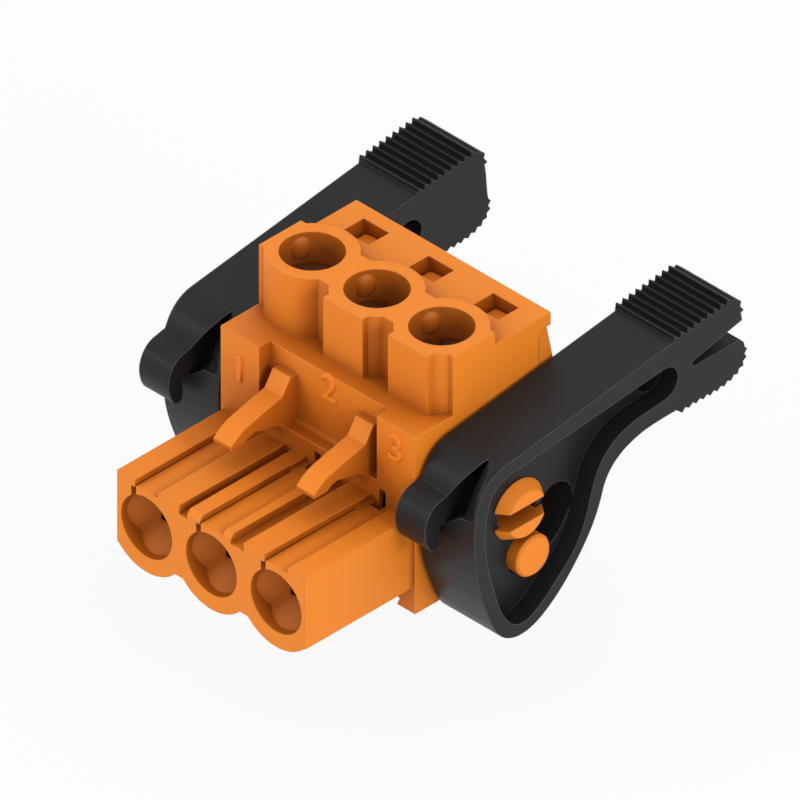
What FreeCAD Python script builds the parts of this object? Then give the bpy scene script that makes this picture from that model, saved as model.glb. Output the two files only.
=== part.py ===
import FreeCAD, Part
import math
import os
import Sketcher

# Three-pole pluggable terminal block with a release lever on each side.
# Frame: origin on the mating face, at the axis of the middle contact.
# X runs along the row of poles, Y from the mating face towards the wire side, Z up.

SIZES = {
    # Row of poles
    "pitch": 5.08,
    "pole_count": 3,
    "end_wall": 2.54,
    # Housing block
    "block_front": 8.36,
    "block_back": 18.05,
    "foot_level": -3.74,
    "shoulder_level": 8.26,
    "roof_level": 11.48,
    "roof_back": 19.0,
    "lip_height": 0.83,
    "seam_radius": 0.6,
    "foot_width": 1.42,
    "foot_height": 0.51,
    "foot_undercut": 0.22,
    # Screw collars on the block
    "screw_line": 13.0,
    "collar_level": 12.26,
    "collar_radius": 2.7,
    "bar_half": 1.65,
    "tab_half": 1.53,
    "access_radius": 1.88,
    "ledge_level": 8.45,
    "stop_bump_radius": 0.8,
    "stop_bump_reach": 0.3,
    "stop_bump_root": 0.15,
    "stop_bump_level": 11.2,
    "stop_bump_angle": 155,
    # Recess in the front of the block
    "recess_half": 4.62,
    "recess_depth": 0.9,
    "recess_floor": 3.89,
    "recess_rounding": 0.25,
    # Mating part
    "plug_inset": 0.23,
    "plug_top": 2.76,
    "plug_bottom": -2.07,
    "scallop_radius": 3.04,
    "mouth_radius": 2.0,
    "mouth_depth": 1.85,
    "socket_opening": 1.3,
    "slot_depth": 0.35,
    "slot_right": 0.9,
    "slit_left": 1.21,
    "slit_edge": 0.92,
    "slit_right": 0.82,
    "slit_depth": 1.3,
    "ledge_thickness": 0.5,
    "ridge_bevel": 0.28,
    "slit_length": 7.05,
    "groove_depth": 0.6,
    "groove_wide": 1.04,
    "groove_narrow": 0.64,
    "port_depth": 0.48,
    "port_left": 0.58,
    "port_right": 0.24,
    "port_top": 0.65,
    # Latch ribs
    "rib_place": 3.25,
    "rib_width": 1.38,
    # Cavities
    "chamber_half": 2.08,
    "chamber_front": 9.95,
    "chamber_floor": -2.75,
    "chamber_roof": 7.5,
    "cavity_half": 1.45,
    "cavity_floor": -1.4,
    "cavity_roof": 1.85,
    # Lug windows behind the collars
    "window_width": 2.0,
    "window_length": 1.65,
    "lug_depth": 0.81,
    "lug_clearance": 0.1,
    "lug_dome": 0.12,
    "lug_floor": 8.9,
    # Rear cover
    "seam_gap": 0.05,
    "cover_shoulder": 0.64,
    "cover_back": 20.3,
    "cover_slope_end": 3.0,
    "wire_radius": 1.8,
    "wire_level": 0.1,
    "wire_funnel": 2.3,
    "wire_funnel_depth": 0.9,
    # Pins for the levers
    "pivot_y": 12.9,
    "pivot_z": 2.91,
    "pivot_radius": 1.48,
    "pivot_end_radius": 1.45,
    "pivot_lip_radius": 1.95,
    "pivot_lip_length": 0.75,
    "pivot_split": 1.15,
    "pivot_split_depth": 3.0,
    "stop_radius": 1.31,
    "stop_distance": 3.2,
    "stop_angle": -80.0,
    "pin_proud": 0.8,
    "pin_bevel": 0.15,
    # Levers
    "lever_gap": 0.105,
    "lever_width": 4.65,
    "pocket_depth": 1.3,
    "pivot_clearance": 0.05,
    "stop_clearance": 0.05,
    "lever_travel": 58.0,
    "window_radius": 1.05,
    "window_reach": 10.3,
    "slit_web": 1.1,
    "lever_edge": 0.2,
    "arc_tolerance": 0.02,
    # Contacts
    "bar_width": 2.2,
    "bar_thickness": 0.7,
    "bar_bottom": 1.9,
    "bar_end": 17.5,
    "bar_step": 9.3,
    "spring_top": 1.6,
    "spring_thickness": 0.4,
    "spring_front": 2.3,
    "spring_back": 7.6,
    "spring_bottom": -0.95,
    "spring_outer": 1.25,
    "throat": 0.95,
    # Clamping yokes
    "yoke_length": 4.2,
    "yoke_side": 0.75,
    "yoke_top": 1.1,
    "yoke_bottom": 0.8,
    "yoke_clearance": 0.06,
    "wire_gap": 3.6,
    # Clamp screws
    "thread_radius": 1.25,
    "thread_clearance": 0.03,
    "shank_clearance": 0.15,
    "head_radius": 1.75,
    "head_height": 1.66,
    "head_play": 0.05,
    "slot_width": 0.6,
    "slot_cut": 0.8,
    "tip_play": 0.03,
}

doc = FreeCAD.newDocument("pluggable_terminal_block")
dim = doc.addObject("Spreadsheet::Sheet", "dim")
for row, (alias, value) in enumerate(SIZES.items(), 1):
    dim.set(f"A{row}", alias)
    dim.set(f"B{row}", str(value))
    dim.setAlias(f"B{row}", alias)
doc.recompute()


def value(text):
    """The number that an expression on the sheet gives."""
    return float(dim.evalExpression(str(text)))


def pole_places():
    """The X place of each pole as an expression, from -X to +X."""
    count = int(round(value("dim.pole_count")))
    return [f"({n} - (dim.pole_count - 1) / 2) * dim.pitch" for n in range(count)]


BLOCK_HALF = "((dim.pole_count - 1) / 2 * dim.pitch + dim.end_wall)"
PLUG_HALF = f"({BLOCK_HALF} - dim.plug_inset)"


# Sketches and features bound to the sheet

def new_body(name):
    body = doc.addObject("PartDesign::Body", name)
    body.Label = name
    return body


def new_sketch(body, name, plane, level):
    """A sketch on one of the body's origin planes, moved along the plane's normal."""
    sketch = body.newObject("Sketcher::SketchObject", name)
    support = [o for o in body.Origin.OriginFeatures if o.Role == plane][0]
    sketch.AttachmentSupport = [(support, "")]
    sketch.MapMode = "FlatFace"
    sketch.setExpression(".AttachmentOffset.Base.z", str(level))
    return sketch


def pin_point(sketch, geometry, corner, x, y):
    """Holds one point of the sketch at the place that two expressions give."""
    for kind, text in (("DistanceX", x), ("DistanceY", y)):
        place = value(text)
        index = sketch.addConstraint(Sketcher.Constraint(kind, -1, 1, geometry, corner, place))
        sketch.setExpression(f"Constraints[{index}]", str(text))


def add_outline(sketch, points):
    """A closed outline of straight lines through points given as expressions."""
    places = [FreeCAD.Vector(value(x), value(y), 0) for x, y in points]
    first = sketch.GeometryCount
    for n, start in enumerate(places):
        sketch.addGeometry(Part.LineSegment(start, places[(n + 1) % len(places)]), False)
    for n in range(len(places)):
        following = first + (n + 1) % len(places)
        sketch.addConstraint(Sketcher.Constraint("Coincident", first + n, 2, following, 1))
    for n, (x, y) in enumerate(points):
        pin_point(sketch, first + n, 1, x, y)


def add_rectangle(sketch, left, right, bottom, top):
    add_outline(sketch, [(left, bottom), (right, bottom), (right, top), (left, top)])


def add_circle(sketch, x, y, radius):
    centre = FreeCAD.Vector(value(x), value(y), 0)
    index = sketch.addGeometry(Part.Circle(centre, FreeCAD.Vector(0, 0, 1), value(radius)), False)
    bound = sketch.addConstraint(Sketcher.Constraint("Radius", index, value(radius)))
    sketch.setExpression(f"Constraints[{bound}]", str(radius))
    pin_point(sketch, index, 3, x, y)


def add_feature(body, kind, sketch, length, along_normal=True, midplane=False):
    """A pad or pocket of the sketch. Along the normal of its plane unless said otherwise."""
    feature = body.newObject("PartDesign::" + kind, kind + "_" + sketch.Label)
    feature.Profile = sketch
    feature.Refine = False
    feature.setExpression("Length", str(length))
    if midplane:
        feature.SideType = "Symmetric"
    else:
        feature.Reversed = along_normal if kind == "Pocket" else not along_normal
    sketch.Visibility = False
    doc.recompute()
    return feature


def round_edges(body, kind, name, feature, size, wanted):
    """A fillet or chamfer on those edges of a feature that the test picks."""
    edges = [f"Edge{n}" for n, edge in enumerate(feature.Shape.Edges, 1) if wanted(edge)]
    made = body.newObject("PartDesign::" + kind, name)
    made.Base = (feature, edges)
    made.setExpression("Radius" if kind == "Fillet" else "Size", size)
    made.Refine = False
    doc.recompute()


def slab(body, kind, name, plane, start, end, draw):
    """A pad or pocket between two levels along the plane's axis, with the outline from draw."""
    if plane == "XZ_Plane":
        sketch = new_sketch(body, name, plane, f"-({end})")
    else:
        sketch = new_sketch(body, name, plane, start)
    draw(sketch)
    return add_feature(body, kind, sketch, f"({end}) - ({start})")


def rectangle(left, right, bottom, top):
    return lambda sketch: add_rectangle(sketch, left, right, bottom, top)


def circle(x, y, radius):
    return lambda sketch: add_circle(sketch, x, y, radius)


def outline(points):
    return lambda sketch: add_outline(sketch, points)


def at_each(places, draw_one):
    """The same outline drawn at each place of one sketch."""
    def draw(sketch):
        for place in places:
            draw_one(place)(sketch)
    return draw


def at_poles(draw_one):
    return at_each(pole_places(), draw_one)


# Housing: one orange moulding with collars, mating part, latch ribs and lever pins

def lead_in_cutter(name, pole):
    """The space of one socket mouth: a four-sided funnel inside a round hole."""
    body = new_body(name)
    wide = "(dim.socket_opening / 2 + dim.mouth_depth)"
    narrow = "dim.socket_opening / 2"
    front = new_sketch(body, name + "_front", "XZ_Plane", "0.001")
    add_rectangle(front, f"{pole} - {wide}", f"{pole} + {wide}", f"-{wide}", wide)
    back = new_sketch(body, name + "_back", "XZ_Plane", "-dim.mouth_depth")
    add_rectangle(back, f"{pole} - {narrow}", f"{pole} + {narrow}", f"-({narrow})", narrow)
    funnel = body.newObject("PartDesign::AdditiveLoft", name + "_funnel")
    funnel.Profile = front
    funnel.Sections = [back]
    funnel.Ruled = True
    doc.recompute()
    around = new_sketch(body, name + "_around", "XZ_Plane", "-dim.mouth_depth - 1")
    far = "(dim.socket_opening / 2 + dim.mouth_depth + 1)"
    add_rectangle(around, f"{pole} - {far}", f"{pole} + {far}", f"-{far}", far)
    add_circle(around, pole, "0", "dim.mouth_radius")
    add_feature(body, "Pocket", around, "dim.mouth_depth + 2")
    return body


def rib_outline():
    """Side outline of a latch rib, from the wall of the recess forward to the hooked nose."""
    return [
        ("dim.block_front + dim.recess_depth + 0.2", 7.04),
        (8.78, 7.04), (8.12, 6.04), (5.7, 5.46), (5.1, 5.28), (4.6, 5.0), (4.1, 4.61),
        (4.12, 4.36), (5.15, 4.36), (5.5, 4.62), (5.96, 4.73), (6.5, 4.6), (7.2, 4.46),
        (7.9, 4.2), (8.2, 3.85), ("dim.block_front", 3.3),
        ("dim.block_front + dim.recess_depth + 0.2", 3.3),
    ]


def block_outline():
    """Side outline of the block with its shoulder, collar bar, roof and rear lip."""
    lip = "dim.roof_level - dim.lip_height"
    return [
        ("dim.block_front", "dim.foot_level"),
        ("dim.block_back", "dim.foot_level"),
        ("dim.block_back", f"{lip} - dim.seam_radius"),
        ("dim.block_back + dim.seam_radius", lip),
        ("dim.roof_back", lip),
        ("dim.roof_back", "dim.roof_level"),
        ("dim.screw_line + dim.bar_half", "dim.roof_level"),
        ("dim.screw_line + dim.bar_half", "dim.collar_level"),
        ("dim.screw_line - dim.bar_half", "dim.collar_level"),
        ("dim.screw_line - dim.bar_half", "dim.shoulder_level"),
        ("dim.block_front", "dim.shoulder_level"),
    ]


def add_collars(body):
    """Round screw collars, with a flat-fronted tab on all but the first."""
    for n, pole in enumerate(pole_places()):
        slab(body, "Pad", f"collar_{n + 1}", "XY_Plane", "dim.shoulder_level - 0.5",
             "dim.collar_level", circle(pole, "dim.screw_line", "dim.collar_radius"))
    slab(body, "Pad", "tabs", "XY_Plane", "dim.shoulder_level - 0.5", "dim.collar_level",
         at_each(pole_places()[1:], lambda pole: rectangle(
             f"{pole} - dim.tab_half", f"{pole} + dim.tab_half",
             "dim.screw_line - dim.collar_radius", "dim.screw_line")))
    slab(body, "Pocket", "access_holes", "XY_Plane", "dim.ledge_level", "dim.collar_level + 0.1",
         at_poles(lambda pole: circle(pole, "dim.screw_line", "dim.access_radius")))
    add_stop_bumps(body)


def add_plug(body):
    """The mating part: a flat block with a round scallop under each contact."""
    end = "dim.block_front + 0.5"
    slab(body, "Pad", "plug", "XZ_Plane", "0", end,
         rectangle(f"-{PLUG_HALF}", PLUG_HALF, "dim.plug_bottom", "dim.plug_top"))
    slab(body, "Pad", "scallops", "XZ_Plane", "0", end, at_poles(scallop))


def scallop(pole):
    """The part of a circle that hangs below the flat bottom of the mating part."""
    def draw(sketch):
        radius = value("dim.scallop_radius")
        half = math.asin(-value("dim.plug_bottom") / radius)
        centre = FreeCAD.Vector(value(pole), 0, 0)
        ring = Part.Circle(centre, FreeCAD.Vector(0, 0, 1), radius)
        arc = Part.ArcOfCircle(ring, math.pi + half, 2 * math.pi - half)
        first = sketch.addGeometry(arc, False)
        sketch.addGeometry(Part.LineSegment(arc.EndPoint, arc.StartPoint), False)
        sketch.addConstraint(Sketcher.Constraint("Coincident", first, 2, first + 1, 1))
        sketch.addConstraint(Sketcher.Constraint("Coincident", first + 1, 2, first, 1))
    return draw


def cut_plug_top(body):
    """Shallow slots, the narrow slits beside them and the grooves between the poles."""
    top = "dim.plug_top + 0.1"
    slab(body, "Pocket", "slots", "XY_Plane", "dim.plug_top - dim.slot_depth", top,
         at_poles(lambda pole: rectangle(
             f"{pole} - dim.slit_right - 0.05", f"{pole} + dim.slot_right",
             "-0.1", "dim.block_front")))
    slab(body, "Pocket", "slits", "XY_Plane", "dim.plug_top - dim.slit_depth", top,
         at_poles(lambda pole: rectangle(
             f"{pole} - dim.slit_edge", f"{pole} - dim.slit_right", "-0.1", "dim.slit_length")))
    slab(body, "Pocket", "undercuts", "XZ_Plane", "-0.1", "dim.slit_length",
         at_poles(lambda pole: rectangle(
             f"{pole} - dim.slit_left", f"{pole} - dim.slit_right",
             "dim.plug_top - dim.slit_depth", "dim.plug_top - dim.ledge_thickness")))
    middle = pole_places()[1]
    for side, left, right in (
            ("left", f"{middle} - dim.pitch / 2 + dim.groove_narrow", f"{middle} - dim.slit_edge"),
            ("right", f"{middle} + dim.slot_right", f"{middle} + dim.pitch / 2 - dim.groove_wide")):
        slab(body, "Pocket", f"ridge_bevel_{side}", "YZ_Plane", left, right,
             outline([("-0.1", top), ("dim.ridge_bevel + 0.1", top),
                      ("-0.1", "dim.plug_top - dim.ridge_bevel - 0.1")]))
    slab(body, "Pocket", "port_floors", "XY_Plane", "dim.cavity_roof - 0.2", top,
         at_poles(lambda pole: rectangle(
             f"{pole} - dim.port_left", f"{pole} + dim.port_right",
             "dim.block_front - dim.port_depth", "dim.block_front")))
    slab(body, "Pocket", "port_faces", "XY_Plane", "dim.cavity_roof - 0.2",
         "dim.plug_top + dim.port_top",
         at_poles(lambda pole: rectangle(
             f"{pole} - dim.port_left / 2", f"{pole} + dim.port_right",
             "dim.block_front - 0.1", "dim.block_front + dim.port_depth")))
    slab(body, "Pocket", "grooves", "XY_Plane", "dim.plug_top - dim.groove_depth", top,
         at_each(list(enumerate(pole_places()[:-1])), groove))


def groove(place):
    """A groove between two poles: narrow after the first pole, wide before the others."""
    number, pole = place
    middle = f"{pole} + dim.pitch / 2"
    if number == 0:
        return rectangle(middle, f"{middle} + dim.groove_narrow", "-0.1", "dim.block_front")
    return rectangle(f"{middle} - dim.groove_wide", middle, "-0.1", "dim.block_front")


PIN_END = f"({BLOCK_HALF} + dim.lever_gap + dim.lever_width - dim.pocket_depth + dim.pin_proud)"
PIN_LIP = f"({PIN_END} - dim.pivot_lip_length)"


def mirrored_pair(left, right, bottom, top):
    """Two rectangles, one on each side of the middle."""
    return at_each([1, -1], lambda side: rectangle(
        left if side > 0 else f"-{right}", right if side > 0 else f"-{left}", bottom, top))


def add_side_pins(body):
    """Split snap pins that carry the levers and plain pins that limit their travel."""
    sketch = new_sketch(body, "pivot_pins", "XY_Plane", "dim.pivot_z")
    sketch.setExpression(".AttachmentOffset.Base.y", "dim.pivot_y")
    half = [(PIN_END, "0"), (PIN_END, "dim.pivot_end_radius"), (PIN_LIP, "dim.pivot_lip_radius"),
            (PIN_LIP, "dim.pivot_radius")]
    add_outline(sketch, half + [(f"-{x}", y) for x, y in reversed(half)])
    pins = body.newObject("PartDesign::Revolution", "turned_pivot_pins")
    pins.Profile = sketch
    pins.ReferenceAxis = (sketch, ["H_Axis"])
    pins.Angle = 360
    pins.Refine = False
    doc.recompute()
    slab(body, "Pocket", "pivot_flats", "XY_Plane", "dim.pivot_z - 2.5",
         "dim.pivot_z - dim.pivot_end_radius",
         mirrored_pair(PIN_LIP, f"({PIN_END} + 0.1)", "dim.pivot_y - 2.5", "dim.pivot_y + 2.5"))
    slab(body, "Pocket", "pivot_splits", "XY_Plane", "dim.pivot_z - dim.pivot_split / 2",
         "dim.pivot_z + dim.pivot_split / 2",
         mirrored_pair(f"({PIN_END} - dim.pivot_split_depth)", f"({PIN_END} + 0.1)",
                       "dim.pivot_y - 2.5", "dim.pivot_y + 2.5"))
    sketch = new_sketch(body, "stop_pins", "YZ_Plane", "0")
    add_circle(sketch, *stop_place(), "dim.stop_radius")
    pins = add_feature(body, "Pad", sketch, f"2 * {PIN_END}", midplane=True)
    at_ends = value(f"{PIN_END}")
    round_edges(body, "Chamfer", "stop_pin_ends", pins, "dim.pin_bevel",
                lambda edge: abs(abs(edge.BoundBox.Center.x) - at_ends) < 0.001
                and edge.BoundBox.XLength < 0.001 and edge.Closed
                and abs(edge.Curve.Radius - value("dim.stop_radius")) < 0.001)


def stop_place():
    """Y and Z of the stop pin, on a circle about the pivot."""
    return ("dim.pivot_y + dim.stop_distance * cos(dim.stop_angle)",
            "dim.pivot_z + dim.stop_distance * sin(dim.stop_angle)")


def cut_cavities(body):
    """Shank hole, clamp chamber, contact cavity and lug window of each pole."""
    slab(body, "Pocket", "shank_holes", "XY_Plane", "dim.chamber_roof - 0.1",
         "dim.ledge_level + 0.1",
         at_poles(lambda pole: circle(pole, "dim.screw_line",
                                      "dim.thread_radius + dim.shank_clearance")))
    slab(body, "Pocket", "chambers", "XZ_Plane", "dim.chamber_front", "dim.block_back + 0.1",
         at_poles(lambda pole: rectangle(
             f"{pole} - dim.chamber_half", f"{pole} + dim.chamber_half",
             "dim.chamber_floor", "dim.chamber_roof")))
    slab(body, "Pocket", "cavities", "XZ_Plane", "dim.mouth_depth - 0.01",
         "dim.block_front + 0.4",
         at_poles(lambda pole: rectangle(
             f"{pole} - dim.cavity_half", f"{pole} + dim.cavity_half",
             "dim.cavity_floor", "dim.cavity_roof")))
    slab(body, "Pocket", "steps", "XZ_Plane", "dim.block_front + 0.3",
         "dim.chamber_front + 0.1",
         at_poles(lambda pole: rectangle(
             f"{pole} - dim.cavity_half", f"{pole} + dim.cavity_half",
             "dim.cavity_floor", "dim.bar_bottom + dim.bar_thickness + 0.2")))
    slab(body, "Pocket", "windows", "XY_Plane", "dim.lug_floor", "dim.roof_level + 0.1",
         at_poles(lambda pole: rectangle(
             f"{pole} - dim.window_width / 2", f"{pole} + dim.window_width / 2",
             "dim.block_back - 0.01 - dim.window_length", "dim.block_back - 0.01")))
    slab(body, "Pocket", "arm_ways", "XY_Plane", "dim.lug_floor",
         "dim.roof_level - dim.lip_height - dim.seam_radius - 0.1",
         at_poles(lambda pole: rectangle(
             f"{pole} - dim.window_width / 2", f"{pole} + dim.window_width / 2",
             "dim.block_back - 0.2", "dim.block_back + 0.5")))


def add_stop_bumps(body):
    """A rounded bump in each access hole that keeps the screw from falling out."""
    plane = [o for o in body.Origin.OriginFeatures if o.Role == "XY_Plane"][0]
    reach = "(dim.access_radius + dim.stop_bump_root)"
    for n, pole in enumerate(pole_places()):
        bump = body.newObject("PartDesign::AdditiveEllipsoid", f"stop_bump_{n + 1}")
        bump.Refine = False
        bump.setExpression("Radius1", "dim.stop_bump_radius")
        bump.setExpression("Radius2", "dim.stop_bump_reach + dim.stop_bump_root")
        bump.setExpression("Radius3", "dim.stop_bump_radius")
        bump.AttachmentSupport = [(plane, "")]
        bump.MapMode = "FlatFace"
        bump.setExpression(".AttachmentOffset.Base.x",
                           f"{pole} + {reach} * cos(dim.stop_bump_angle)")
        bump.setExpression(".AttachmentOffset.Base.y",
                           f"dim.screw_line + {reach} * sin(dim.stop_bump_angle)")
        bump.setExpression(".AttachmentOffset.Base.z", "dim.stop_bump_level")
        bump.setExpression(".AttachmentOffset.Rotation.Angle", "dim.stop_bump_angle")
        doc.recompute()


def trim_sides(body):
    """Brings the collars at the two ends flush with the sides of the block."""
    slab(body, "Pocket", "side_trims", "XY_Plane", "dim.shoulder_level - 1",
         "dim.collar_level + 1",
         mirrored_pair(BLOCK_HALF, f"({BLOCK_HALF} + 3)", "dim.screw_line - 5",
                       "dim.screw_line + 5"))


def foot_gap():
    """The space between the two feet, with undercut sides."""
    inner = f"({BLOCK_HALF} - dim.foot_width)"
    upper = f"({BLOCK_HALF} - dim.foot_width + dim.foot_undercut)"
    return outline([(f"-{inner}", "dim.foot_level - 0.001"), (inner, "dim.foot_level - 0.001"),
                    (upper, "dim.foot_level + dim.foot_height"),
                    (f"-{upper}", "dim.foot_level + dim.foot_height")])


def round_recess(body, recess):
    """Rounds the corner between the floor of the front recess and its back wall."""
    wall = value("dim.block_front + dim.recess_depth")
    floor = value("dim.recess_floor")
    round_edges(body, "Fillet", "recess_corner", recess, "dim.recess_rounding",
                lambda edge: abs(edge.BoundBox.YMin - wall) < 0.001
                and abs(edge.BoundBox.ZMax - floor) < 0.001)


def make_housing():
    body = new_body("housing")
    sketch = new_sketch(body, "block", "YZ_Plane", "0")
    add_outline(sketch, block_outline())
    add_feature(body, "Pad", sketch, f"2 * {BLOCK_HALF}", midplane=True)
    add_collars(body)
    trim_sides(body)
    recess = slab(body, "Pocket", "recess", "XY_Plane", "dim.recess_floor",
                  "dim.shoulder_level + 0.1",
                  rectangle("-dim.recess_half", "dim.recess_half", "dim.block_front - 0.1",
                            "dim.block_front + dim.recess_depth"))
    round_recess(body, recess)
    slab(body, "Pocket", "foot_gap", "XZ_Plane", "dim.block_front - 0.1", "dim.block_back + 0.1",
         foot_gap())
    add_side_pins(body)
    add_plug(body)
    for side in (-1, 1):
        middle = f"{side} * dim.rib_place"
        slab(body, "Pad", f"rib_{'left' if side < 0 else 'right'}", "YZ_Plane",
             f"{middle} - dim.rib_width / 2", f"{middle} + dim.rib_width / 2",
             outline(rib_outline()))
    cut_cavities(body)
    cut_plug_top(body)
    cutters = [lead_in_cutter(f"mouth_{n + 1}", pole) for n, pole in enumerate(pole_places())]
    mouths = body.newObject("PartDesign::Boolean", "mouths")
    mouths.Type = "Cut"
    mouths.addObjects(cutters)
    doc.recompute()
    return body


# Rear cover: separate orange moulding that closes the clamp chambers

def cover_outline():
    front = "dim.block_back + dim.seam_gap"
    top = "dim.roof_level - dim.lip_height - dim.seam_gap"
    return [
        (front, "dim.foot_level"),
        ("dim.cover_back", "dim.foot_level"),
        ("dim.cover_back", "dim.cover_slope_end"),
        ("dim.block_back + dim.cover_shoulder", top),
        (f"{front} + dim.seam_radius - 0.02", top),
        (front, f"{top} - dim.seam_radius + 0.02"),
    ]


def domed_lug(pole, half, bottom):
    """Front view of a lug: straight sides and a slightly domed top."""
    def draw(sketch):
        left = value(f"{pole} - {half} + dim.lug_clearance")
        right = value(f"{pole} + {half}")
        side = value("dim.roof_level - dim.lug_depth - dim.lug_dome")
        corners = [FreeCAD.Vector(left, side, 0), FreeCAD.Vector(left, value(bottom), 0),
                   FreeCAD.Vector(right, value(bottom), 0), FreeCAD.Vector(right, side, 0)]
        top = FreeCAD.Vector((left + right) / 2, value("dim.roof_level - dim.lug_depth"), 0)
        for start, end in zip(corners, corners[1:]):
            sketch.addGeometry(Part.LineSegment(start, end), False)
        sketch.addGeometry(Part.Arc(corners[3], top, corners[0]), False)
    return draw


def make_rear_cover():
    body = new_body("rear_cover")
    sketch = new_sketch(body, "plate", "YZ_Plane", "0")
    add_outline(sketch, cover_outline())
    add_feature(body, "Pad", sketch, f"2 * {BLOCK_HALF}", midplane=True)
    slab(body, "Pocket", "cover_foot_gap", "XZ_Plane", "dim.block_back - 0.1",
         "dim.cover_back + 0.1", foot_gap())
    half = "(dim.window_width / 2 - dim.lug_clearance)"
    lug_front = "dim.block_back - dim.window_length + 0.1"
    arm_top = "dim.roof_level - dim.lip_height - dim.seam_radius - 0.2"
    slab(body, "Pad", "arms", "XY_Plane", "dim.lug_floor + 0.1", arm_top,
         at_poles(lambda pole: rectangle(f"{pole} - {half}", f"{pole} + {half}", lug_front,
                                         "dim.block_back + dim.seam_gap + 0.1")))
    slab(body, "Pad", "lugs", "XZ_Plane", lug_front, "dim.block_back - 0.1",
         at_poles(lambda pole: domed_lug(pole, half, f"{arm_top} - 0.1")))
    slab(body, "Pocket", "wire_bores", "XZ_Plane", "dim.block_back - 0.1",
         "dim.cover_back + 0.1",
         at_poles(lambda pole: circle(pole, "dim.wire_level", "dim.wire_radius")))
    for n, pole in enumerate(pole_places()):
        mouth = new_sketch(body, f"wire_mouth_{n + 1}", "XZ_Plane", "-(dim.cover_back + 0.001)")
        add_circle(mouth, pole, "dim.wire_level", "dim.wire_funnel")
        throat = new_sketch(body, f"wire_throat_{n + 1}", "XZ_Plane",
                            "-(dim.cover_back - dim.wire_funnel_depth)")
        add_circle(throat, pole, "dim.wire_level", "dim.wire_radius")
        funnel = body.newObject("PartDesign::SubtractiveLoft", f"wire_funnel_{n + 1}")
        funnel.Profile = mouth
        funnel.Sections = [throat]
        funnel.Ruled = True
        doc.recompute()
    return body


# Levers: two dark mouldings that turn on the pins of the housing

# Places on the levers are measured from the pivot: towards the wire side, then up.
CAM_EDGE = [
    (-2.2, 4.62), (-3.8, 3.72), (-4.4, 2.62), (-4.6, 1.1), (-4.42, -1.85), (-3.98, -3.75),
    (-3.3, -5.55), (-2.72, -6.62), (-1.3, -7.4), (1.58, -6.33), (3.95, -3.8), (5.2, -1.55),
    (5.66, -0.28), (6.38, 0.63), (8.4, 1.52), (11.2, 1.71),
]
POCKET_EDGE = [
    (-1.7, 3.84), (-3.15, 3.1), (-3.74, 0.9), (-3.6, -1.4), (-2.93, -3.95), (-2.42, -5.35),
    (-1.2, -6.62), (1.7, -5.2), (3.45, -3.4), (4.42, -1.05), (5.1, 0.78), (6.5, 2.15),
    (8.5, 2.68), (10.35, 2.86),
]
UPPER_JAW = [(15.83, 6.99), (16.3, 6.58), (16.22, 6.27), (16.49, 5.91), (16.27, 5.82)]
UPPER_CORNER = (16.36, 5.27)
LOWER_CORNER = (16.49, 3.72)
LOWER_JAW = (16.58, 3.33)
SLIT = [
    (12.42, 4.22), (12.6, 4.42), (15.37, 5.06), UPPER_CORNER, (17.2, 5.45),
    (17.2, 3.72), LOWER_CORNER, (16.22, 4.01), (12.6, 4.03),
]
UPPER_TEETH = {"count": 9, "first": (11.1, 6.78), "step": (0.518, 0.056), "drop": (0.46, -0.34)}
LOWER_TEETH = {"count": 12, "drop": 0.21}
LOWER_TOOTH_LINE = [(16.76, 3.16), (16.42, 2.08), (15.25, 1.5), (13.16, 1.39), (11.67, 1.31)]
HOOK_NOSE = [
    (-4.95, 2.46), (-5.82, 1.95), (-6.2, 0.75), (-6.05, 0.0), (-5.8, -0.5), (-5.49, -0.7),
]
HOOK_REST = [(-5.18, -0.58), (-5.1, -0.4), (-5.1, 0.82), (-3.9, 0.82), (-3.9, 2.7)]
# The hollow beside the hook: deep at the hook, half as deep on the way, nothing at the far face.
HOLLOW = [
    [(-4.9, 0.81), (-3.57, 0.81), (-3.11, 1.04), (-2.78, 1.94), (-2.35, 2.59), (-1.9, 2.94),
     (-1.3, 3.27), (-4.9, 2.45)],
    [(-4.9, 1.69), (-4.12, 1.69), (-3.9, 1.95), (-3.65, 2.5), (-3.35, 3.1), (-3.0, 3.7),
     (-2.3, 4.56), (-4.9, 4.3)],
    [(-4.9, 1.74), (-4.7, 1.79), (-4.66, 1.95), (-4.56, 2.7), (-4.3, 3.4), (-3.8, 4.1),
     (-2.9, 4.9), (-4.9, 4.95)],
]


def smooth_curve(points):
    """A smooth curve through points."""
    curve = Part.BSplineCurve()
    curve.interpolate([FreeCAD.Vector(x, y, 0) for x, y in points])
    return curve


def smooth_edge(points):
    """A smooth curve through points, made of arcs that run into each other."""
    return smooth_curve(points).toBiArcs(value("dim.arc_tolerance"))


def straight_edges(points):
    """Straight lines from point to point."""
    return [Part.LineSegment(FreeCAD.Vector(*a, 0), FreeCAD.Vector(*b, 0))
            for a, b in zip(points, points[1:])]


def add_chain(sketch, pieces):
    """Curves laid end to end."""
    for piece in pieces:
        sketch.addGeometry(piece, False)


def upper_teeth():
    """Saw teeth along the top of the grip."""
    points = []
    for n in range(UPPER_TEETH["count"]):
        tip = [start + n * step for start, step in zip(UPPER_TEETH["first"], UPPER_TEETH["step"])]
        points += [tuple(tip), tuple(a + b for a, b in zip(tip, UPPER_TEETH["drop"]))]
    return points


def lower_teeth():
    """Smaller teeth that follow the rounded end and the underside of the lower jaw."""
    curve = smooth_curve(LOWER_TOOTH_LINE)
    steps = 2 * (LOWER_TEETH["count"] - 1)
    points = []
    for n in range(steps + 1):
        place = curve.parameterAtDistance(curve.length() * n / steps, curve.FirstParameter)
        point = curve.value(place)
        if n % 2:
            forward = curve.tangent(place)[0]
            point += FreeCAD.Vector(forward.y, -forward.x, 0) * LOWER_TEETH["drop"]
        points.append((point.x, point.y))
    return points


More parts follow.
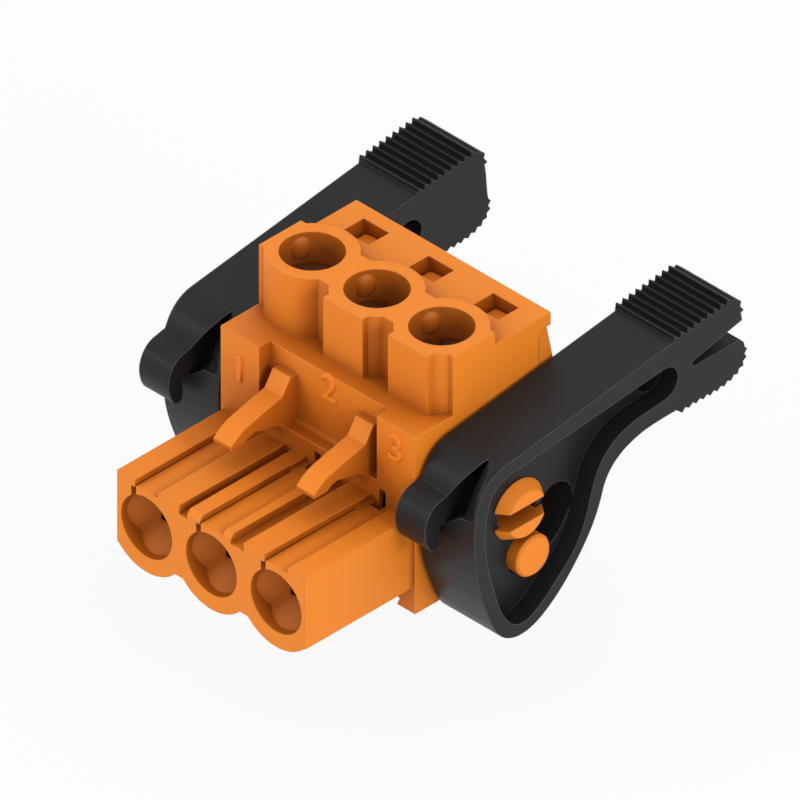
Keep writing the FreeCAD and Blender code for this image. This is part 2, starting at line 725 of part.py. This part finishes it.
def lever_outline(sketch):
    line = [CAM_EDGE[0], (11.05, 6.44)] + upper_teeth() + UPPER_JAW
    line += [UPPER_CORNER, LOWER_CORNER, LOWER_JAW] + lower_teeth() + [CAM_EDGE[-1]]
    add_chain(sketch, smooth_edge(CAM_EDGE) + straight_edges(line))


def window_centre():
    """Centre of the round far end of the pocket."""
    return (value("dim.window_reach"), POCKET_EDGE[-1][1] + value("dim.window_radius"))


def pocket_outline(sketch):
    radius = value("dim.window_radius")
    centre = FreeCAD.Vector(*window_centre(), 0)
    last = FreeCAD.Vector(*POCKET_EDGE[-1], 0)
    first = FreeCAD.Vector(*POCKET_EDGE[0], 0)
    far = centre + FreeCAD.Vector(radius, 0, 0)
    slope = math.atan2(centre.y + radius - first.y, centre.x - first.x)
    top = centre + FreeCAD.Vector(-math.sin(slope), math.cos(slope), 0) * radius
    add_chain(sketch, smooth_edge(POCKET_EDGE)
              + [Part.Arc(last, far, top), Part.LineSegment(top, first)])


def hook_outline(sketch):
    add_chain(sketch, smooth_edge(HOOK_NOSE)
              + straight_edges([HOOK_NOSE[-1]] + HOOK_REST + [HOOK_NOSE[0]]))


def arc_slot(sketch):
    """Slot about the pivot for the stop pin, as long as the lever's travel."""
    radius = value("dim.stop_radius") + value("dim.stop_clearance")
    distance = value("dim.stop_distance")
    low = math.radians(value("dim.stop_angle") - 1)
    high = math.radians(value("dim.stop_angle") + value("dim.lever_travel") + 1)

    def polar(reach, angle):
        return FreeCAD.Vector(reach * math.cos(angle), reach * math.sin(angle), 0)

    def side(reach):
        return Part.Arc(polar(reach, low), polar(reach, (low + high) / 2), polar(reach, high))

    def cap(angle, beyond):
        forward = FreeCAD.Vector(-math.sin(angle), math.cos(angle), 0) * radius * beyond
        return Part.Arc(polar(distance - radius, angle), polar(distance, angle) + forward,
                        polar(distance + radius, angle))

    add_chain(sketch, [side(distance - radius), cap(high, 1), side(distance + radius),
                       cap(low, -1)])


def make_lever(name, side):
    """A lever. The pocket, slit and pins' side face outwards, the hook sits at the -X face."""
    body = new_body(name)
    inner = f"({BLOCK_HALF} + dim.lever_gap)"
    outer = f"({inner} + dim.lever_width)"
    floor = f"({outer} - dim.pocket_depth)"
    low_face = inner if side > 0 else f"(-{outer})"
    hook_face = f"({low_face} + dim.lever_width / 2)"

    def sketch_at(label, place):
        sketch = new_sketch(body, f"{label}_{name}", "YZ_Plane", place)
        sketch.setExpression(".AttachmentOffset.Base.x", "dim.pivot_y")
        sketch.setExpression(".AttachmentOffset.Base.y", "dim.pivot_z")
        return sketch

    def at_pivot(kind, label, start, stop, draw):
        sketch = sketch_at(label, start)
        draw(sketch)
        return add_feature(body, kind, sketch, f"({stop}) - ({start})")

    def between(kind, label, near, far, draw):
        """A feature between two distances from the middle of the row, on the lever's side."""
        start, stop = (near, far) if side > 0 else (f"-({far})", f"-({near})")
        return at_pivot(kind, label, start, stop, draw)

    plate = between("Pad", "outline", inner, outer, lever_outline)
    bevel_low_edges(body, plate, value(low_face))
    at_pivot("Pad", "hook", low_face, hook_face, hook_outline)
    hollow = []
    for share, points in zip((0, 0.48, 1), HOLLOW):
        sketch = sketch_at(f"hollow_at_{int(100 * share)}",
                           f"{hook_face} + {share} * dim.lever_width / 2")
        add_outline(sketch, points)
        hollow.append(sketch)
    cut = body.newObject("PartDesign::SubtractiveLoft", f"hollow_{name}")
    cut.Profile = hollow[0]
    cut.Sections = hollow[1:]
    cut.Ruled = True
    cut.Refine = False
    doc.recompute()
    between("Pocket", "pocket", floor, f"{outer} + 0.1", pocket_outline)
    between("Pocket", "slit", f"{inner} + dim.slit_web", f"{outer} + 0.1", outline(SLIT))
    between("Pocket", "pivot_hole", f"{inner} - 0.1", f"{outer} + 0.1",
            circle("0", "0", "dim.pivot_radius + dim.pivot_clearance"))
    between("Pocket", "travel_slot", f"{inner} - 0.1", f"{outer} + 0.1", arc_slot)
    between("Pocket", "end_window", f"{inner} - 0.1", f"{outer} + 0.1",
            circle(*window_centre(), "dim.window_radius - 0.02"))
    return body


def bevel_low_edges(body, plate, face):
    """Takes the sharpness off the long edges of the -X face: the cam and the straight top."""
    def is_long_edge(edge):
        box = edge.BoundBox
        at_face = abs(box.XMin - face) < 0.001 and box.XLength < 0.001
        return at_face and (edge.Curve.TypeId == "Part::GeomCircle" or edge.Length > 5)

    round_edges(body, "Chamfer", f"bevel_{body.Label}", plate, "dim.lever_edge", is_long_edge)


# Contacts: tin-plated strip with a current bar at the back and a spring socket in front

def make_contact(name, pole):
    body = new_body(name)
    half = "dim.bar_width / 2"
    top = "dim.bar_bottom + dim.bar_thickness"
    web = "dim.spring_top - dim.spring_thickness"
    slab(body, "Pad", f"{name}_bar", "YZ_Plane", f"{pole} - {half}", f"{pole} + {half}",
         outline([("dim.spring_back - 0.3", web), ("dim.bar_step - 0.5", web),
                  ("dim.bar_step + 0.4", "dim.bar_bottom"), ("dim.bar_end", "dim.bar_bottom"),
                  ("dim.bar_end", top), ("dim.bar_step", top),
                  ("dim.bar_step - 0.7", "dim.spring_top"),
                  ("dim.spring_back - 0.3", "dim.spring_top")]))
    slab(body, "Pad", f"{name}_web", "XY_Plane", web, "dim.spring_top",
         rectangle(f"{pole} - dim.spring_outer", f"{pole} + dim.spring_outer",
                   "dim.spring_front + 1.2", "dim.spring_back"))
    slab(body, "Pad", f"{name}_back", "XY_Plane", "dim.spring_bottom", "dim.spring_top - 0.01",
         rectangle(f"{pole} - dim.spring_outer + 0.01", f"{pole} + dim.spring_outer - 0.01",
                   "dim.spring_back - dim.spring_thickness", "dim.spring_back - 0.01"))
    for side in (-1, 1):
        def across(distance):
            return f"{pole} + {side} * ({distance})"

        thick = "dim.spring_thickness"
        slab(body, "Pad", f"{name}_arm_{'left' if side < 0 else 'right'}", "XY_Plane",
             "dim.spring_bottom", "dim.spring_top - 0.01",
             outline([(across("dim.spring_outer"), "dim.spring_back"),
                      (across("dim.spring_outer"), "dim.spring_front + 2.6"),
                      (across(f"dim.throat / 2 + {thick}"), "dim.spring_front + 0.9"),
                      (across(f"dim.throat / 2 + {thick} + 0.25"), "dim.spring_front"),
                      (across("dim.throat / 2 + 0.25"), "dim.spring_front"),
                      (across("dim.throat / 2"), "dim.spring_front + 0.9"),
                      (across(f"dim.spring_outer - {thick}"), "dim.spring_front + 2.6"),
                      (across(f"dim.spring_outer - {thick}"), "dim.spring_back")]))
    return body


# Clamping yokes: plated steel sleeves that the screws lift against the current bars

def make_yoke(name, pole):
    body = new_body(name)
    half = "(dim.chamber_half - dim.yoke_clearance)"
    floor = "(dim.bar_bottom - dim.wire_gap)"
    ceiling = "(dim.bar_bottom + dim.bar_thickness + 0.15)"
    front = "dim.screw_line - dim.yoke_length / 2"
    back = "dim.screw_line + dim.yoke_length / 2"
    slab(body, "Pad", f"{name}_sleeve", "XZ_Plane", front, back,
         rectangle(f"{pole} - {half}", f"{pole} + {half}", f"{floor} - dim.yoke_bottom",
                   f"{ceiling} + dim.yoke_top"))
    slab(body, "Pocket", f"{name}_window", "XZ_Plane", f"{front} - 0.1", f"{back} + 0.1",
         rectangle(f"{pole} - {half} + dim.yoke_side", f"{pole} + {half} - dim.yoke_side",
                   floor, ceiling))
    slab(body, "Pocket", f"{name}_thread", "XY_Plane", f"{ceiling} - 0.1",
         f"{ceiling} + dim.yoke_top + 0.1",
         circle(pole, "dim.screw_line", "dim.thread_radius + dim.thread_clearance"))
    return body


# Clamp screws: slotted heads below the access holes, tips on the current bars

def make_clamp_screw(name, pole):
    body = new_body(name)
    seat = "(dim.ledge_level + dim.head_play)"
    tip = "(dim.bar_bottom + dim.bar_thickness + dim.tip_play)"
    sketch = new_sketch(body, f"{name}_profile", "XZ_Plane", "-dim.screw_line")
    sketch.setExpression(".AttachmentOffset.Base.x", pole)
    add_outline(sketch, [
        ("0", tip), ("dim.thread_radius - 0.3", tip), ("dim.thread_radius", f"{tip} + 0.3"),
        ("dim.thread_radius", seat), ("dim.head_radius", seat),
        ("dim.head_radius", f"{seat} + dim.head_height - 0.15"),
        ("dim.head_radius - 0.15", f"{seat} + dim.head_height"),
        ("0", f"{seat} + dim.head_height")])
    turned = body.newObject("PartDesign::Revolution", f"{name}_turned")
    turned.Profile = sketch
    turned.ReferenceAxis = (sketch, ["V_Axis"])
    turned.Angle = 360
    doc.recompute()
    slab(body, "Pocket", f"{name}_slot", "XY_Plane", f"{seat} + dim.head_height - dim.slot_cut",
         f"{seat} + dim.head_height + 0.1",
         rectangle(f"{pole} - dim.head_radius - 0.1", f"{pole} + dim.head_radius + 0.1",
                   "dim.screw_line - dim.slot_width / 2", "dim.screw_line + dim.slot_width / 2"))
    return body


pieces = [make_housing(), make_rear_cover(), make_lever("lever_left", -1),
          make_lever("lever_right", 1)]
for number, place in enumerate(pole_places(), 1):
    pieces.append(make_contact(f"contact_{number}", place))
    pieces.append(make_yoke(f"yoke_{number}", place))
    pieces.append(make_clamp_screw(f"clamp_screw_{number}", place))
doc.recompute()

for item in doc.Objects:
    if "Invalid" in item.State or "Error" in item.State:
        raise RuntimeError(f"{item.Label} did not build: {item.State}")
for piece in pieces:
    if piece.Shape.isNull() or not piece.Shape.isValid():
        raise RuntimeError(f"{piece.Label} has no valid shape")
    if len(piece.Shape.Solids) != 1:
        raise RuntimeError(f"{piece.Label} has {len(piece.Shape.Solids)} solids")

os.makedirs("parts", exist_ok=True)
for piece in pieces:
    piece.Shape.exportStep(f"parts/{piece.Label}.step")
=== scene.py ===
import math

import bpy
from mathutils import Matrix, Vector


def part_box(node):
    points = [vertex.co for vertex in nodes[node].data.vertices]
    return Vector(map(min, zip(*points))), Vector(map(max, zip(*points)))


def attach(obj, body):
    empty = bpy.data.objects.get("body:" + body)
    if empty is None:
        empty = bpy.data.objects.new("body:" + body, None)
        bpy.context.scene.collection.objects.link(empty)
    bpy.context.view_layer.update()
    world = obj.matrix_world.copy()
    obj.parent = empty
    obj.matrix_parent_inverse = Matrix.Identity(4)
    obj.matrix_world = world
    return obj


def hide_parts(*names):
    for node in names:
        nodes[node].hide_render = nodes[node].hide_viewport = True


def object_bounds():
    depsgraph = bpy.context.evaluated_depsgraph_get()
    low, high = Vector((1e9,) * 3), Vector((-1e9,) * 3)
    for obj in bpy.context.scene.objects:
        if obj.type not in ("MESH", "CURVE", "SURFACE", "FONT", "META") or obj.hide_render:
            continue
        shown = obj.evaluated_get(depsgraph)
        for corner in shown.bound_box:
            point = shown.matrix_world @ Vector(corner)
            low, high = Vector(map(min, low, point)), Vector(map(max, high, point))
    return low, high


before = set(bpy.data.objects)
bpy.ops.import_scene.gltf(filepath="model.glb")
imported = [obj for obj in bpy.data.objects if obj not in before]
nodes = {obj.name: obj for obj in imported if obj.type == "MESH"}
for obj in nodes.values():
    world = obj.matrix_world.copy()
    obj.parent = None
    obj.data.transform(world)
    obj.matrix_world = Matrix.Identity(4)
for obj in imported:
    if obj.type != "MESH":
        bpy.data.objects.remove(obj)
cad_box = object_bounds()


# The housing: one moulding of orange polyamide, with the plug in front, the block behind it,
# the screw collars on top and the pins that carry the levers. The mould leaves a very fine
# eroded skin, and its edges are broken by a tenth of a millimetre.


class Value:
    """One output of a node. Arithmetic on it adds Math nodes."""

    def __init__(self, finish, socket):
        self.finish = finish
        self.socket = socket

    def math(self, operation, first, second):
        """A Math node, whose two inputs may be values or plain numbers."""
        return self.finish.node("Math", {"operation": operation}, {0: first, 1: second})

    def __add__(self, other):
        return self.math("ADD", self, other)

    def __radd__(self, other):
        return self.math("ADD", other, self)

    def __sub__(self, other):
        return self.math("SUBTRACT", self, other)

    def __rsub__(self, other):
        return self.math("SUBTRACT", other, self)

    def __mul__(self, other):
        return self.math("MULTIPLY", self, other)

    def __rmul__(self, other):
        return self.math("MULTIPLY", other, self)

    def __pow__(self, other):
        return self.math("POWER", self, other)


class Finish:
    """A material whose nodes are added by name."""

    def __init__(self, name):
        self.material = bpy.data.materials.new(name)
        self.material.use_nodes = True
        self.tree = self.material.node_tree
        self.skin = self.tree.nodes["Principled BSDF"]

    def feed(self, socket, value):
        """Links a value to a socket, or sets the socket to a plain number or colour."""
        if isinstance(value, Value):
            self.tree.links.new(value.socket, socket)
        else:
            socket.default_value = value

    def node(self, kind, settings, inputs, output=0):
        """Adds a node with its settings, feeds its inputs and gives one output."""
        made = self.tree.nodes.new("ShaderNode" + kind)
        for name, setting in settings.items():
            setattr(made, name, setting)
        for name, value in inputs.items():
            self.feed(made.inputs[name], value)
        return Value(self, made.outputs[output])

    def place(self):
        """The place on the object, in metres."""
        return self.node("TexCoord", {}, {}, "Object")

    def noise(self, size, detail=2.0, where=None):
        """Noise whose cells are about size metres, from 0 to 1."""
        settings = {"noise_dimensions": "3D"}
        inputs = {"Vector": where or self.place(), "Scale": 1 / size, "Detail": detail}
        return self.node("TexNoise", settings, inputs)

    def between(self, low, high, amount):
        """The colour that lies amount of the way from low to high."""
        ends = [end if isinstance(end, Value) else (*end, 1) for end in (low, high)]
        settings = {"data_type": "RGBA"}
        return self.node("Mix", settings, {"Factor": amount, 6: ends[0], 7: ends[1]}, 2)

    def corners(self, reach):
        """How open the place is, from 0 far in a corner to 1 on a free face. It sets the painted
        shade.
        """
        settings = {"samples": 8, "only_local": True}
        return self.node("AmbientOcclusion", settings, {"Distance": reach}, "AO")

    def edges(self, width):
        """How near an outer edge is, from 0 on a face or in a corner to about 1 on the edge.

        The rounded normal turns by 45 degrees on a square edge, which 3.4 brings to 1.
        """
        rounded = self.node("Bevel", {"samples": 6}, {"Radius": width})
        straight = self.node("NewGeometry", {}, {}, "Normal")
        along = self.node("VectorMath", {"operation": "DOT_PRODUCT"}, {0: rounded, 1: straight}, 1)
        return 3.4 * (1 - along) * self.corners(5 * width) ** 4

    def relief(self, height, depth, edge):
        """A normal with this height over the surface, and with the edges rounded by edge."""
        rounded = self.node("Bevel", {"samples": 6}, {"Radius": edge})
        inputs = {"Height": height, "Distance": depth, "Strength": 1.0, "Normal": rounded}
        return self.node("Bump", {}, inputs)

    def split(self, vector):
        """The three parts of a vector."""
        return [self.node("SeparateXYZ", {}, {0: vector}, part) for part in range(3)]

    def dress(self, **sockets):
        """Feeds the named sockets of the surface."""
        for name, value in sockets.items():
            self.feed(self.skin.inputs[name.replace("_", " ")], value)


def wear(finish, *names):
    """Gives the named CAD nodes this finish."""
    for name in names:
        slots = nodes[name].data.materials
        slots.clear()
        slots.append(finish.material)


# The third value is how far the painted shade in corners reaches, the fourth how wide the painted
# highlight on outer edges is.
cloud_size, blotch_size, painted_shade_reach, painted_highlight_width = 0.006, 0.0015, 0.005, 0.00012
skin_depth, polyamide_ior = 0.000004, 1.53


def polyamide(name, painted_shade, low, high, painted_highlight, roughness, shine, grain=0.00012, edge=0.00011):
    """Moulded polyamide, cloudy from low to high, painted shade in corners, painted highlights on
    edges.

    The eroded skin has cells as large as grain, and the edges are rounded by edge.
    """
    plastic = Finish(name)
    cloud = plastic.between(low, high, plastic.noise(cloud_size, 3.0))
    # Painted shade: the colour darkens towards the shade colour in corners and recesses.
    shaded = plastic.between(painted_shade, cloud, plastic.corners(painted_shade_reach) ** 1.8)
    skin = plastic.noise(grain, 1.0)
    # Painted highlight: the base colour turns lighter along outer edges.
    plastic.dress(
        Base_Color=plastic.between(shaded, painted_highlight, plastic.edges(painted_highlight_width)),
        Roughness=roughness - 0.05 + 0.1 * plastic.noise(blotch_size),
        Normal=plastic.relief(skin, skin_depth, edge),
        IOR=polyamide_ior,
        Specular_IOR_Level=shine,
    )
    return plastic


# The colours are the painted shade in corners, the low and high of the cloud, and the painted
# highlight on edges.
orange = polyamide(
    "orange polyamide", (0.3, 0.07, 0.003), (0.88, 0.245, 0.017), (0.94, 0.265, 0.021),
    (0.96, 0.31, 0.05), 0.5, 0.2)
wear(orange, "housing")


# The rear cover: a second orange moulding, snapped into the block's back, with a funnel
# for each wire. It comes from another tool, so its skin is a shade duller.

# The colours are the painted shade in corners, the low and high of the cloud, and the painted
# highlight on edges.
cover_orange = polyamide(
    "cover polyamide", (0.29, 0.067, 0.003), (0.85, 0.235, 0.017), (0.91, 0.255, 0.021),
    (0.93, 0.3, 0.05), 0.54, 0.2)
wear(cover_orange, "rear_cover")


# The pole numbers: plain numerals 1 to 3, raised a tenth of a millimetre on the front of the
# block over each pole. They come out of the same mould as the housing.

pole_pitch = 0.00508
proud, numeral_size, numeral_draft = 0.0001, 0.0024, 0.00004
block_front, recess_back = 0.00836, 0.00926
numeral_places = [
    (-0.00612, block_front, 0.0053), (0.0, recess_back, 0.0066), (0.00612, block_front, 0.006)]
merge_distance = 0.000001


def on_whole_mesh(operator, **settings):
    """Runs one mesh operator on all of the active mesh."""
    bpy.ops.object.mode_set(mode="EDIT")
    bpy.ops.mesh.select_all(action="SELECT")
    operator(**settings)
    bpy.ops.object.mode_set(mode="OBJECT")


for number, (across, face, level) in enumerate(numeral_places, 1):
    bpy.ops.object.select_all(action="DESELECT")
    bpy.ops.object.text_add(rotation=(math.pi / 2, 0, 0), location=(across, face, level))
    numeral = bpy.context.object
    numeral.name = f"numeral_{number}"
    numeral.data.body = str(number)
    numeral.data.align_x = "CENTER"
    numeral.data.size = numeral_size
    numeral.data.extrude = proud
    numeral.data.bevel_depth = numeral_draft
    numeral.data.bevel_resolution = 1
    bpy.ops.object.convert(target="MESH")
    bpy.ops.object.transform_apply(location=True, rotation=True, scale=True)
    on_whole_mesh(bpy.ops.mesh.remove_doubles, threshold=merge_distance)
    on_whole_mesh(bpy.ops.mesh.normals_make_consistent, inside=False)
    numeral.data.materials.append(orange.material)
    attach(numeral, "body")


# The contacts: strips of tin-plated copper alloy, stamped and folded, each with two spring
# arms for the header's pin and a bar that the wire is pressed against.

tin = Finish("tin-plated copper alloy")
streaks = tin.noise(0.0012, 3.0, tin.node("Mapping", {}, {"Vector": tin.place(), "Scale": (9, 1, 9)}))
tin.dress(
    Base_Color=tin.between((0.60, 0.57, 0.53), (0.74, 0.72, 0.69), streaks),
    Metallic=1.0,
    Roughness=0.26 + 0.16 * streaks,
    Normal=tin.relief(streaks, 0.000002, 0.00005),
)
wear(tin, "contact_1", "contact_2", "contact_3")


# The clamp yokes: cages of zinc-plated steel, folded from strip and tapped for the screws.
# The plating is blotchy, and each yoke hangs on its screw inside the block.

zinc = Finish("zinc-plated steel")
blotches = zinc.noise(0.0009, 3.0)
zinc.dress(
    Base_Color=zinc.between((0.56, 0.57, 0.58), (0.72, 0.72, 0.71), blotches),
    Metallic=1.0,
    Roughness=0.28 + 0.14 * blotches,
    Normal=zinc.relief(blotches, 0.000003, 0.00008),
)
wear(zinc, "yoke_1", "yoke_2", "yoke_3")


# The clamp screws: zinc-plated steel, one over each yoke. A slotted cheese head on a threaded
# shank, turned in one piece, so fine rings run round the head. The thread is a ridge wound
# about a plain core.

screw_y = 0.013
head_radius, head_bottom, head_top = 0.00175, 0.0085, 0.01016
core_radius, crest_radius, thread_pitch = 0.00103, 0.00124, 0.00045
tip_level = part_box("clamp_screw_1")[0].z
slot_width, slot_depth = 0.0006, 0.0008
head_bevel, tip_bevel, core_overlap = 0.00008, 0.0002, 0.0002
ridge_sink, thread_start, thread_ends = 0.00006, 0.00045, 0.0012
screw_turns = (0.35, 1.9, -0.6)


def bevel(piece, width, segments=2):
    """Breaks the sharp edges of a piece."""
    modifier = piece.modifiers.new("bevel", "BEVEL")
    modifier.width = width
    modifier.segments = segments
    modifier.limit_method = "ANGLE"
    bpy.ops.object.modifier_apply(modifier=modifier.name)


def screw_head():
    """A cheese head with a slot across it."""
    middle_level = (head_bottom + head_top) / 2
    bpy.ops.mesh.primitive_cylinder_add(
        vertices=72, radius=head_radius, depth=head_top - head_bottom, location=(0, 0, middle_level))
    head = bpy.context.object
    bpy.ops.object.transform_apply(location=True)
    bpy.ops.mesh.primitive_cube_add(size=1.0, location=(0, 0, head_top))
    tool = bpy.context.object
    tool.scale = (head_radius * 2.4, slot_width, slot_depth * 2)
    bpy.ops.object.transform_apply(location=True, scale=True)
    bpy.ops.object.select_all(action="DESELECT")
    bpy.context.view_layer.objects.active = head
    head.select_set(True)
    cut = head.modifiers.new("slot", "BOOLEAN")
    cut.operation = "DIFFERENCE"
    cut.object = tool
    bpy.ops.object.modifier_apply(modifier=cut.name)
    bpy.data.objects.remove(tool)
    bevel(head, head_bevel)
    return head


def screw_shank():
    """The core of the thread, with a chamfered tip, and the plain neck under the head."""
    length = head_bottom - tip_level + core_overlap
    bpy.ops.mesh.primitive_cylinder_add(
        vertices=48, radius=core_radius, depth=length, location=(0, 0, tip_level + length / 2))
    shank = bpy.context.object
    bpy.ops.object.transform_apply(location=True)
    bevel(shank, tip_bevel, 1)
    return shank


def screw_thread():
    """A three-sided ridge wound round the core, closed at both ends."""
    reach = (crest_radius - core_radius) / 1.5 + ridge_sink
    bpy.ops.mesh.primitive_circle_add(
        vertices=3, radius=reach, fill_type="NOTHING", rotation=(math.pi / 2, math.pi / 2, 0),
        location=(crest_radius - reach, 0, tip_level + thread_start))
    ridge = bpy.context.object
    bpy.ops.object.transform_apply(location=True, rotation=True)
    wind = ridge.modifiers.new("wind", "SCREW")
    wind.angle = 2 * math.pi
    wind.screw_offset = thread_pitch
    wind.iterations = int((head_bottom - tip_level - thread_ends) / thread_pitch)
    wind.steps = 32
    wind.use_merge_vertices = False
    bpy.ops.object.modifier_apply(modifier=wind.name)
    on_whole_mesh(bpy.ops.mesh.fill_holes, sides=3)
    return ridge


turned = Finish("turned zinc-plated steel")
across, along, _ = turned.split(turned.place())
half_pitch, rings_per_metre = pole_pitch / 2, 14000
from_axis = turned.node("Math", {"operation": "WRAP"}, {0: across, 1: half_pitch, 2: -half_pitch})
radius = (from_axis * from_axis + (along - screw_y) ** 2) ** 0.5
ring_place = radius * rings_per_metre
rings = turned.node("TexNoise", {"noise_dimensions": "1D"}, {"W": ring_place, "Scale": 1.0})
tarnish = turned.noise(0.0008, 3.0)
steel = turned.between((0.5, 0.505, 0.51), (0.68, 0.67, 0.65), tarnish)
# Painted shade: the base colour darkens to near black in the slot and other tight corners.
turned.dress(
    Base_Color=turned.between((0.1, 0.1, 0.105), steel, turned.corners(0.0006) ** 2),
    Metallic=1.0,
    Roughness=0.2 + 0.12 * tarnish + 0.08 * rings,
    Normal=turned.relief(rings, 0.000003, 0.00003),
)

for number in (1, 2, 3):
    bpy.ops.object.select_all(action="DESELECT")
    parts = [screw_thread(), screw_shank(), screw_head()]
    bpy.ops.object.select_all(action="DESELECT")
    for part in parts:
        part.select_set(True)
    bpy.context.view_layer.objects.active = parts[-1]
    bpy.ops.object.join()
    screw = bpy.context.object
    screw.name = f"slotted_screw_{number}"
    screw.location = ((number - 2) * pole_pitch, screw_y, 0)
    screw.rotation_euler.z = screw_turns[number - 1]
    bpy.ops.object.transform_apply(location=True, rotation=True)
    on_whole_mesh(bpy.ops.mesh.normals_make_consistent, inside=False)
    bpy.ops.object.shade_smooth_by_angle(angle=math.radians(35))
    screw.data.materials.clear()
    screw.data.materials.append(turned.material)
    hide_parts(f"clamp_screw_{number}")
    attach(screw, f"clamp_screw_{number}")


# The release levers: black polyamide with glass fibre, clipped over the housing's pins.
# Their skin is smoother than the housing's and shines a little on the long faces.

# The colours are the painted shade in corners, the low and high of the cloud, and the painted
# highlight on edges.
black = polyamide(
    "black polyamide", (0.013, 0.013, 0.0135), (0.018, 0.018, 0.0185), (0.023, 0.023, 0.024),
    (0.13, 0.13, 0.13), 0.38, 0.12, 0.00016, 0.00014)
wear(black, "lever_left", "lever_right")


# The table: pale and matt. The connector is held over it, just high enough for the grips of the
# levers to swing down past its bottom. It shows white to the camera and keeps a faint shadow.

grips_dip = 0.0053
table_level = cad_box[0].z - grips_dip


def seen_directly(finish):
    """1 for a ray from the camera or off a gloss, and 0 for a ray that gathers light."""
    kinds = ("Camera", "Glossy", "Transmission")
    camera, gloss, glass = (finish.node("LightPath", {}, {}, f"Is {kind} Ray") for kind in kinds)
    return camera + gloss + glass


bpy.ops.mesh.primitive_plane_add(size=2.0, location=(0, 0, table_level))
table = bpy.context.object
table.name = "table"
paper = Finish("pale table")
glow = paper.node("Emission", {}, {"Color": (1, 1, 1, 1), "Strength": 1.0})
paper.dress(Base_Color=(0.85, 0.85, 0.85, 1), Roughness=1.0, Specular_IOR_Level=0.0)
body = Value(paper, paper.skin.outputs[0])
shown = paper.node("MixShader", {}, {0: 0.9 * seen_directly(paper), 1: body, 2: glow})
paper.feed(paper.tree.nodes["Material Output"].inputs["Surface"], shown)
table.data.materials.append(paper.material)


# The light: a pale room all around, and two small lamps, left in front and right behind, whose
# reflections draw the rounded edges.


class Room(Finish):
    """The world, whose nodes are added as a finish's are."""

    def __init__(self, name):
        self.world = bpy.data.worlds.new(name)
        self.world.use_nodes = True
        self.tree = self.world.node_tree


room = Room("room")
fill = room.node("Background", {}, {"Color": (1, 1, 1, 1), "Strength": 0.84})
white = room.node("Background", {}, {"Color": (1, 1, 1, 1), "Strength": 1.0})
air = room.node("MixShader", {}, {0: seen_directly(room), 1: fill, 2: white})
room.feed(room.tree.nodes["World Output"].inputs["Surface"], air)
bpy.context.scene.world = room.world

middle = (0.0, 0.012, 0.004)


def lamp(name, place, power, size=0.07):
    """A square lamp that faces the connector's middle."""
    bpy.ops.object.light_add(type="AREA", location=place)
    made = bpy.context.object
    made.name = name
    made.data.size = size
    made.data.energy = power
    toward = [b - a for a, b in zip(place, middle)]
    made.rotation_euler = Vector(toward).to_track_quat("-Z", "Y").to_euler()


lamp("left lamp", (-0.2, -0.22, 0.13), 0.1)
lamp("right lamp", (0.26, -0.02, 0.14), 0.2)


# The camera: the photograph is a straight-down-the-corner view with no perspective, so the
# lens is orthographic, turned 45 degrees from the front and 35.26 degrees above the table.

view_width = 0.04437
turn, rise = math.radians(45), math.atan(1 / math.sqrt(2))
aim = Vector((-0.003789, 0.018589, 0.0))
back = Vector((math.sin(turn) * math.cos(rise), -math.cos(turn) * math.cos(rise), math.sin(rise)))
bpy.ops.object.camera_add(location=aim + back * 0.3)
camera = bpy.context.object
camera.data.type = "ORTHO"
camera.data.ortho_scale = view_width
camera.data.clip_start = 0.01
camera.data.clip_end = 3.0
camera.rotation_mode = "QUATERNION"
camera.rotation_quaternion = (-back).to_track_quat("-Z", "Y")
bpy.context.scene.camera = camera
bpy.context.scene.view_settings.view_transform = "Standard"
